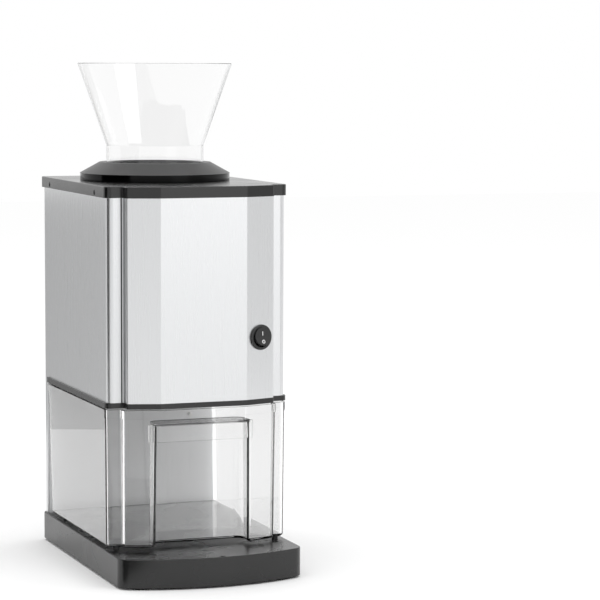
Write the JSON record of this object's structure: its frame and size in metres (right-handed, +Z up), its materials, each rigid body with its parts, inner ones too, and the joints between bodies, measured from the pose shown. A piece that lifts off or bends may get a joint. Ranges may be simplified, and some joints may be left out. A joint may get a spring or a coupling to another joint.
{
  "type": "electric ice crusher",
  "caption": "Tall steel ice crusher with a faceted front, clear funnel hopper on a black collar, geared crushing drum and a clear collecting drawer on a black base.",
  "frame": {"origin": "on the table, under the centre of the machine's bounding box", "axes": "+Z up, +X to the right seen from the front, the front faces -Y"},
  "size_m": [0.175, 0.2852, 0.4702],
  "materials": {
    "black_abs": "fine moulded satin black",
    "brushed_steel": "brushed upright, bright",
    "clear_plastic": "clear moulded plastic",
    "black_rubber": "matt rubber",
    "black_screws": "blackened screw",
    "zinc_screws": "zinc plated",
    "cast_aluminium": "as cast",
    "grey_plastic": "moulded grey",
    "stainless_blades": "ground stainless",
    "machined_steel": "machined, oiled",
    "gear_nylon": "natural nylon",
    "bush_bronze": "sintered bronze",
    "zinc_sheet": "galvanised sheet",
    "magnet_ferrite": "sintered ferrite",
    "black_rocker": "gloss black",
    "nickel_terminals": "plated brass",
    "plunger_plastic": "white acetal"
  },
  "bodies": {
    "machine": {"base_tray": "black_abs", "base_plate": "black_abs", "lower_frame": "black_abs", "top_cover": "black_abs", "hopper_collar": "black_abs", "interlock_bracket": "black_abs", "switch_housing": "black_abs", "housing_shell": "brushed_steel", "front_panel": "brushed_steel", "bay_back_wall": "brushed_steel", "base_feet": "black_rubber", "cable_gland": "black_rubber", "lid_screws": "black_screws", "back_screws": "black_screws", "base_screws": "zinc_screws", "flange_screws": "zinc_screws", "gear_plate_screws": "zinc_screws", "motor_screws": "zinc_screws", "comb_screws": "zinc_screws", "crushing_chamber": "cast_aluminium", "outlet_chute": "grey_plastic", "terminal_block": "grey_plastic", "gland_nut": "grey_plastic", "microswitch": "grey_plastic", "comb_blades": "stainless_blades", "idler_axle": "machined_steel", "gear_pillars": "machined_steel", "front_bush": "bush_bronze", "rear_bush": "bush_bronze", "gear_plate": "zinc_sheet", "motor_plate": "zinc_sheet", "motor_can": "zinc_sheet", "motor_front_bell": "zinc_sheet", "motor_rear_bell": "zinc_sheet", "field_magnets": "magnet_ferrite", "switch_terminals": "nickel_terminals"},
    "drawer": {"drawer": "clear_plastic", "drawer_feet": "black_rubber"},
    "hopper": {"hopper": "clear_plastic"},
    "rocker": {"switch_rocker": "black_rocker"},
    "drum": {"drum_shaft": "machined_steel", "drum_hub": "machined_steel", "output_gear": "machined_steel", "shaft_clip": "machined_steel", "drum_blade_1": "stainless_blades", "drum_blade_2": "stainless_blades", "drum_blade_3": "stainless_blades", "drum_blade_4": "stainless_blades", "drum_blade_5": "stainless_blades"},
    "idler": {"idler_gear": "gear_nylon"},
    "rotor": {"armature": "machined_steel", "motor_pinion": "machined_steel", "motor_fan": "black_abs"},
    "plunger": {"interlock_plunger": "plunger_plastic"}
  },
  "joints": [
    {"name": "drawer_slide", "type": "slide", "parent": "machine", "child": "drawer", "axis": [0, -1, 0], "range_m": [0, 0.235]},
    {"name": "hopper_lift", "type": "slide", "parent": "machine", "child": "hopper", "axis": [0, 0, 1], "range_m": [0, 0.1]},
    {"name": "switch_rocker", "type": "hinge", "parent": "machine", "child": "rocker", "pos_m": [0.05549, -0.09433, 0.2203], "axis": [0.9563, 0.2924, 0], "range_deg": [0, 20]},
    {"name": "drum_spin", "type": "hinge", "parent": "machine", "child": "drum", "pos_m": [0, 0.0476, 0.2931], "axis": [0, 1, 0], "continuous": true},
    {"name": "idler_spin", "type": "hinge", "parent": "machine", "child": "idler", "pos_m": [-0.025, -0.019, 0.25038], "axis": [0, 1, 0], "continuous": true},
    {"name": "rotor_spin", "type": "hinge", "parent": "machine", "child": "rotor", "pos_m": [0, -0.0305, 0.22243], "axis": [0, 1, 0], "continuous": true},
    {"name": "plunger_slide", "type": "slide", "parent": "machine", "child": "plunger", "axis": [0, -1, 0], "range_m": [0, 0.0025]}
  ],
  "couplings": [
    {"joint": "idler_spin", "follows": "drum_spin", "ratio": -4.5},
    {"joint": "rotor_spin", "follows": "drum_spin", "ratio": 18},
    {"joint": "plunger_slide", "follows": "drawer_slide", "ratio": 0.010627}
  ]
}
